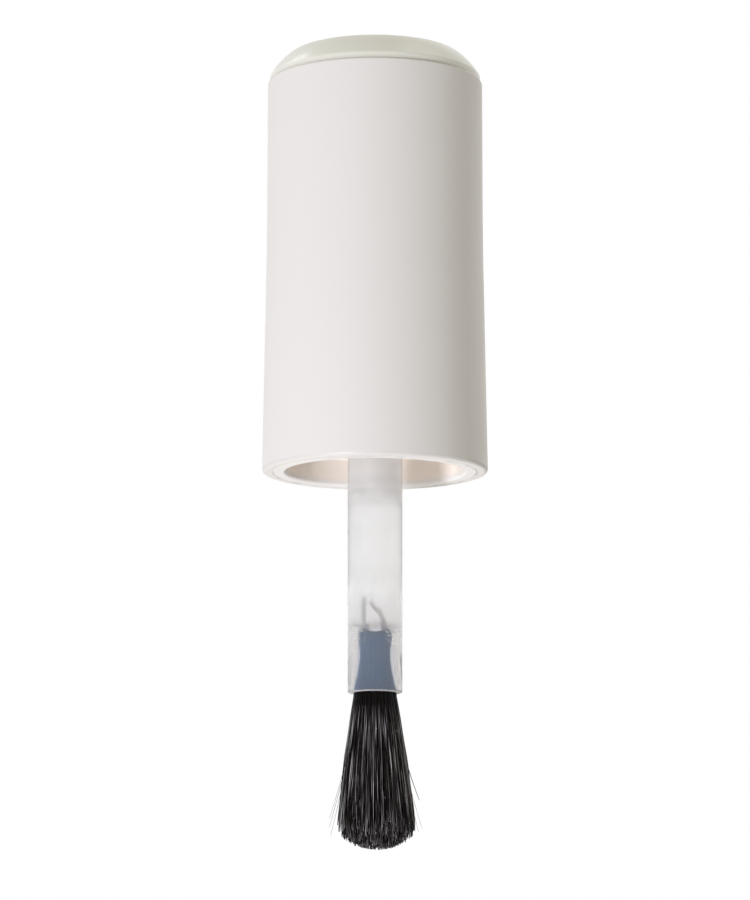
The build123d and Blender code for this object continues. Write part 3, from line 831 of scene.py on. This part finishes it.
# the tuft's outline at this drop: a straight flare with a slight bulge
flare = add_node(
    tree,
    "ShaderNodeMapRange",
    {
        "Value": drop,
        "From Max": size["Widest Drop"],
        "To Min": size["Mouth Radius"],
        "To Max": size["End Radius"],
    },
)
fill = add_node(tree, "ShaderNodeMapRange", {"Value": drop, "From Max": size["Widest Drop"]}).outputs[0]
unfilled = add_node(tree, "ShaderNodeMath", {0: 1.0, 1: fill}, operation="SUBTRACT").outputs[0]
bulge = add_node(tree, "ShaderNodeMath", {0: fill, 1: unfilled}, operation="MULTIPLY").outputs[0]
bulge = add_node(tree, "ShaderNodeMath", {0: bulge, 1: size["Side Bulge"]}, operation="MULTIPLY").outputs[0]
outline = add_node(
    tree, "ShaderNodeMath", {0: bulge, 1: 4.0, 2: flare.outputs[0]}, operation="MULTIPLY_ADD"
).outputs[0]

# the locks: the outline falls in a V at each parting, which deepens on the way down
deepening = add_node(
    tree,
    "ShaderNodeMapRange",
    {
        "Value": drop,
        "From Min": size["Parting Start"],
        "From Max": size["Widest Drop"],
        "To Max": size["Parting Depth"],
    },
).outputs[0]
cut_in = 0.0
for direction, depth_share in PARTINGS:
    heading = math.radians(direction)
    aside = add_node(
        tree,
        "ShaderNodeMath",
        {0: turn, 1: heading + math.pi, 2: heading - math.pi},
        operation="WRAP",
    ).outputs[0]
    aside = add_node(tree, "ShaderNodeMath", {0: aside, 1: heading}, operation="SUBTRACT").outputs[0]
    aside = add_node(tree, "ShaderNodeMath", {0: aside}, operation="ABSOLUTE").outputs[0]
    aside = add_node(tree, "ShaderNodeMath", {0: aside, 1: outline}, operation="MULTIPLY").outputs[0]
    flank = add_node(
        tree, "ShaderNodeMath", {0: aside, 1: math.tan(PARTING_ANGLE / 2)}, operation="DIVIDE"
    ).outputs[0]
    notch = add_node(tree, "ShaderNodeMath", {0: deepening, 1: depth_share}, operation="MULTIPLY").outputs[0]
    notch = add_node(tree, "ShaderNodeMath", {0: notch, 1: flank}, operation="SUBTRACT").outputs[0]
    cut_in = add_node(tree, "ShaderNodeMath", {0: notch, 1: cut_in}, operation="MAXIMUM").outputs[0]
outline = add_node(tree, "ShaderNodeMath", {0: outline, 1: cut_in}, operation="SUBTRACT").outputs[0]
off_axis = add_node(tree, "ShaderNodeMath", {0: outline, 1: outward}, operation="MULTIPLY").outputs[0]
height = add_node(tree, "ShaderNodeMath", {0: stem_tip, 1: drop}, operation="SUBTRACT").outputs[0]
spot = add_node(tree, "ShaderNodeCombineXYZ", {"X": off_axis, "Z": height}).outputs[0]
spot = add_node(
    tree, "ShaderNodeVectorRotate", {"Vector": spot, "Angle": turn}, rotation_type="Z_AXIS"
).outputs[0]

# neighbours lean together in locks, and each filament also goes a little its own way
lock = add_node(tree, "ShaderNodeCombineXYZ", {"X": outward, "Z": share}).outputs[0]
lock = add_node(
    tree, "ShaderNodeVectorRotate", {"Vector": lock, "Angle": turn}, rotation_type="Z_AXIS"
).outputs[0]
lean = add_node(tree, "ShaderNodeTexNoise", {"Vector": lock, "Scale": LOCK_WAVES, "Detail": 1.0})
lean = lean.outputs["Color"]
lean = add_node(tree, "ShaderNodeVectorMath", {0: lean, 1: (0.5, 0.5, 0.5)}, operation="SUBTRACT").outputs[0]
lean = add_node(tree, "ShaderNodeVectorMath", {0: lean, 1: (1, 1, 0)}, operation="MULTIPLY").outputs[0]
lean_far = add_node(tree, "ShaderNodeMath", {0: fill, 1: size["Clumping"]}, operation="MULTIPLY").outputs[0]
lean = add_node(tree, "ShaderNodeVectorMath", {0: lean, "Scale": lean_far}, operation="SCALE").outputs[0]
own = add_node(
    tree,
    "FunctionNodeRandomValue",
    {0: (-1, -1, 0), 1: (1, 1, 0), "ID": number, "Seed": OWN_WAY_SEED},
    data_type="FLOAT_VECTOR",
).outputs[0]
own_far = add_node(tree, "ShaderNodeMath", {0: fill, 1: size["Straying"]}, operation="MULTIPLY").outputs[0]
own = add_node(tree, "ShaderNodeVectorMath", {0: own, "Scale": own_far}, operation="SCALE").outputs[0]
spot = add_node(tree, "ShaderNodeVectorMath", {0: spot, 1: lean}, operation="ADD").outputs[0]
spot = add_node(tree, "ShaderNodeVectorMath", {0: spot, 1: own}, operation="ADD").outputs[0]

# the whole tuft has taken a slight set to one side
set_over = add_node(tree, "ShaderNodeMath", {0: fill, 1: size["Lean"]}, operation="MULTIPLY").outputs[0]
set_over = add_node(tree, "ShaderNodeCombineXYZ", {"X": set_over}).outputs[0]
spot = add_node(tree, "ShaderNodeVectorMath", {0: spot, 1: set_over}, operation="ADD").outputs[0]

# the filaments' ends are ground to a taper
taper = add_node(
    tree,
    "ShaderNodeMapRange",
    {"Value": share, "From Min": TAPER_STARTS, "To Min": 1.0, "To Max": TAPER_END},
)
thickness = add_node(
    tree, "ShaderNodeMath", {0: taper.outputs[0], 1: size["Bristle Radius"]}, operation="MULTIPLY"
).outputs[0]
skin_filaments(tree, lines, spot, thickness, number)

tuft = grow("tuft_bristles", tree, tuft_sizes)
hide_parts("bristle_tuft")
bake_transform(tuft)


# Folded roots: the half of the same nylon that is hidden in the socket. Each pair of filaments is one
# hairpin, up the socket, over the wire and down again. They are coloured with a painted blue-grey haze,
# which stands in for the light that the milky stem scatters in front of them.
WIRE_BAR_HEIGHT = 0.00402  # top of the wire's bar above the stem's tip
SADDLE_HEIGHT = 0.00462  # middle of the hollow that the wire pulls in the fold
SADDLE_RADIUS = 0.00097
FOLD_HALF_WIDTH = 0.00085  # the saddle curves over this much to each side
ROOT_POINTS = 27  # along each hairpin
TURN_STARTS = 0.35  # where on a hairpin's length its turn starts and ends
TURN_ENDS = 0.65
ROUNDNESS = 1.02  # just over 1, so that the depth of the bundle is never nothing at its sides
# the bundle's radius, by height above the stem's tip
ROOT_OUTLINE = [
    (0.0, 0.00158),
    (0.0008, 0.00147),
    (0.0020, 0.00124),
    (0.00315, 0.00115),
    (0.0036, 0.00121),
    (0.0040, 0.0013),
    (0.0045, 0.00119),
    (0.00493, 0.00078),
]
root_sizes = {
    "Pairs": BRISTLE_PAIRS,
    "Bar Height": WIRE_BAR_HEIGHT,
    "Saddle Height": SADDLE_HEIGHT,
    "Saddle Radius": SADDLE_RADIUS,
    "Turn Height": 0.0005,
    "Bristle Radius": BRISTLE_RADIUS,
}
tree, size = start_tree("folded_roots", root_sizes)
lines, number, share = blank_filaments(tree, size["Pairs"], ROOT_POINTS)
rank = add_node(tree, "ShaderNodeMath", {0: number, 1: 0.5}, operation="ADD").outputs[0]
rank = add_node(tree, "ShaderNodeMath", {0: rank, 1: size["Pairs"]}, operation="DIVIDE").outputs[0]
outward = add_node(tree, "ShaderNodeMath", {0: rank}, operation="SQRT").outputs[0]
turn = add_node(tree, "ShaderNodeMath", {0: number, 1: GOLDEN_SHARE}, operation="MULTIPLY").outputs[0]
turn = add_node(tree, "ShaderNodeMath", {0: turn}, operation="FRACT").outputs[0]
turn = add_node(tree, "ShaderNodeMath", {0: turn, 1: math.pi}, operation="MULTIPLY").outputs[0]
root_x = add_node(tree, "ShaderNodeMath", {0: turn}, operation="COSINE").outputs[0]
root_x = add_node(tree, "ShaderNodeMath", {0: root_x, 1: outward}, operation="MULTIPLY").outputs[0]
root_y = add_node(tree, "ShaderNodeMath", {0: turn}, operation="SINE").outputs[0]
root_y = add_node(tree, "ShaderNodeMath", {0: root_y, 1: outward}, operation="MULTIPLY").outputs[0]

# the outermost hairpins follow the saddle, the innermost lie on the wire's bar
across = add_node(tree, "ShaderNodeMath", {0: root_x, 1: FOLD_HALF_WIDTH}, operation="MULTIPLY").outputs[0]
across = add_node(tree, "ShaderNodeMath", {0: across, 1: across}, operation="MULTIPLY").outputs[0]
saddle = add_node(
    tree, "ShaderNodeMath", {0: size["Saddle Radius"], 1: size["Saddle Radius"]}, operation="MULTIPLY"
).outputs[0]
saddle = add_node(tree, "ShaderNodeMath", {0: saddle, 1: across}, operation="SUBTRACT").outputs[0]
saddle = add_node(tree, "ShaderNodeMath", {0: saddle}, operation="SQRT").outputs[0]
saddle = add_node(
    tree, "ShaderNodeMath", {0: size["Saddle Radius"], 1: saddle}, operation="SUBTRACT"
).outputs[0]
saddle = add_node(tree, "ShaderNodeMath", {0: size["Saddle Height"], 1: saddle}, operation="ADD").outputs[0]
widest_y = add_node(tree, "ShaderNodeMath", {0: root_x, 1: root_x}, operation="MULTIPLY").outputs[0]
widest_y = add_node(tree, "ShaderNodeMath", {0: ROUNDNESS, 1: widest_y}, operation="SUBTRACT").outputs[0]
widest_y = add_node(tree, "ShaderNodeMath", {0: widest_y}, operation="SQRT").outputs[0]
depth_share = add_node(tree, "ShaderNodeMath", {0: root_y, 1: widest_y}, operation="DIVIDE").outputs[0]
peak = add_node(
    tree, "ShaderNodeMapRange", {"Value": depth_share, "To Min": size["Bar Height"], "To Max": saddle}
).outputs[0]
peak = add_node(
    tree, "ShaderNodeMath", {0: peak, 1: size["Bristle Radius"]}, operation="SUBTRACT"
).outputs[0]

# up one leg, round the turn and down the other
leg = add_node(tree, "ShaderNodeMath", {0: share, 1: 0.5}, operation="SUBTRACT").outputs[0]
leg = add_node(tree, "ShaderNodeMath", {0: leg}, operation="ABSOLUTE").outputs[0]
climb = add_node(
    tree, "ShaderNodeMapRange", {"Value": leg, "From Min": 0.5, "From Max": TURN_ENDS - 0.5}
).outputs[0]
swing = add_node(
    tree,
    "ShaderNodeMapRange",
    {"Value": share, "From Min": TURN_STARTS, "From Max": TURN_ENDS, "To Max": math.pi},
).outputs[0]
side = add_node(tree, "ShaderNodeMath", {0: swing}, operation="COSINE").outputs[0]
rise = add_node(tree, "ShaderNodeMath", {0: swing}, operation="SINE").outputs[0]
turn_height = add_node(
    tree, "ShaderNodeMath", {0: root_y, 1: size["Turn Height"]}, operation="MULTIPLY"
).outputs[0]
shoulder = add_node(tree, "ShaderNodeMath", {0: peak, 1: turn_height}, operation="SUBTRACT").outputs[0]
climbed = add_node(tree, "ShaderNodeMath", {0: climb, 1: shoulder}, operation="MULTIPLY").outputs[0]
level = add_node(
    tree, "ShaderNodeMath", {0: rise, 1: turn_height, 2: climbed}, operation="MULTIPLY_ADD"
).outputs[0]

# the hour-glass outline of the squeezed bundle, at each height
root_top = ROOT_OUTLINE[-1][0]
widest_root = ROOT_OUTLINE[0][1]
filled = add_node(tree, "ShaderNodeMath", {0: level, 1: root_top}, operation="DIVIDE").outputs[0]
outline = add_node(tree, "ShaderNodeFloatCurve", {"Value": filled})
outline_curve = outline.mapping.curves[0]
outline_curve.points[0].location = (0, 1)
for height, radius in ROOT_OUTLINE[1:-1]:
    outline_curve.points.new(height / root_top, radius / widest_root)
outline_curve.points[-1].location = (1, ROOT_OUTLINE[-1][1] / widest_root)
outline.mapping.update()
around = add_node(
    tree,
    "ShaderNodeMath",
    {0: outline.outputs[0], 1: widest_root, 2: -BRISTLE_RADIUS},
    operation="MULTIPLY_ADD",
).outputs[0]
spot_x = add_node(tree, "ShaderNodeMath", {0: root_x, 1: around}, operation="MULTIPLY").outputs[0]
spot_y = add_node(tree, "ShaderNodeMath", {0: root_y, 1: around}, operation="MULTIPLY").outputs[0]
spot_y = add_node(tree, "ShaderNodeMath", {0: spot_y, 1: side}, operation="MULTIPLY").outputs[0]
spot_z = add_node(tree, "ShaderNodeMath", {0: level, 1: stem_tip}, operation="ADD").outputs[0]
spot = add_node(tree, "ShaderNodeCombineXYZ", {"X": spot_x, "Y": spot_y, "Z": spot_z}).outputs[0]
skin_filaments(tree, lines, spot, size["Bristle Radius"], number)

roots = grow("folded_roots", tree, root_sizes)
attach(roots, "applicator")
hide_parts("bristle_knot")


# Stray bristles: a few finer filaments of the same nylon, which have bent out of the tuft in use and stand
# off its sides. They are held in the socket with the rest.
# each: direction round the axis in degrees, how far it stands off at its end, where it ends, its radius
STRAY_BRISTLES = [
    (182, 0.00045, 0.0100, 0.000022),
    (176, 0.00028, 0.0106, 0.000020),
    (188, 0.00056, 0.0094, 0.000018),
    (-5, 0.00064, 0.0080, 0.000040),
    (4, 0.00056, 0.0101, 0.000018),
    (10, 0.00030, 0.0103, 0.000020),
    (72, 0.00038, 0.0099, 0.000028),
    (-118, 0.00050, 0.0101, 0.000028),
]
STRAY_STEPS = 14
STRAY_ROOT_RADIUS = 0.00150  # from the axis, at the stem's tip
STRAY_INSET = 0.0003  # each starts this far inside the tuft
stray_curve = bpy.data.curves.new("stray_bristles", "CURVE")
stray_curve.dimensions = "3D"
stray_curve.bevel_depth = 1.0
stray_curve.bevel_resolution = 1
stray_curve.use_fill_caps = True
for direction, stand_off, drop_end, radius in STRAY_BRISTLES:
    heading = Vector((math.cos(math.radians(direction)), math.sin(math.radians(direction)), 0))
    spline = stray_curve.splines.new("POLY")
    spline.points.add(STRAY_STEPS)
    for place in range(STRAY_STEPS + 1):
        drop = drop_end * place / STRAY_STEPS
        widening = (tuft_sizes["End Radius"] - STRAY_ROOT_RADIUS) * drop / tuft_sizes["Widest Drop"]
        flare = STRAY_ROOT_RADIUS + widening
        away = flare - STRAY_INSET + (stand_off + STRAY_INSET) * (place / STRAY_STEPS) ** 2
        spline.points[place].co = (*(away * heading), 1)
        spline.points[place].co.z = stem_tip - drop
        spline.points[place].radius = radius * (1 - 0.5 * (place / STRAY_STEPS) ** 3)
host = bpy.data.objects.new("stray_host", stray_curve)
stray_mesh = bpy.data.meshes.new_from_object(host)
bpy.data.objects.remove(host)
stray_mesh.materials.clear()
stray_mesh.materials.append(nylon)
strays = bpy.data.objects.new("stray_filaments", stray_mesh)
scene.collection.objects.link(strays)
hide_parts("stray_bristles")
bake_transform(strays)
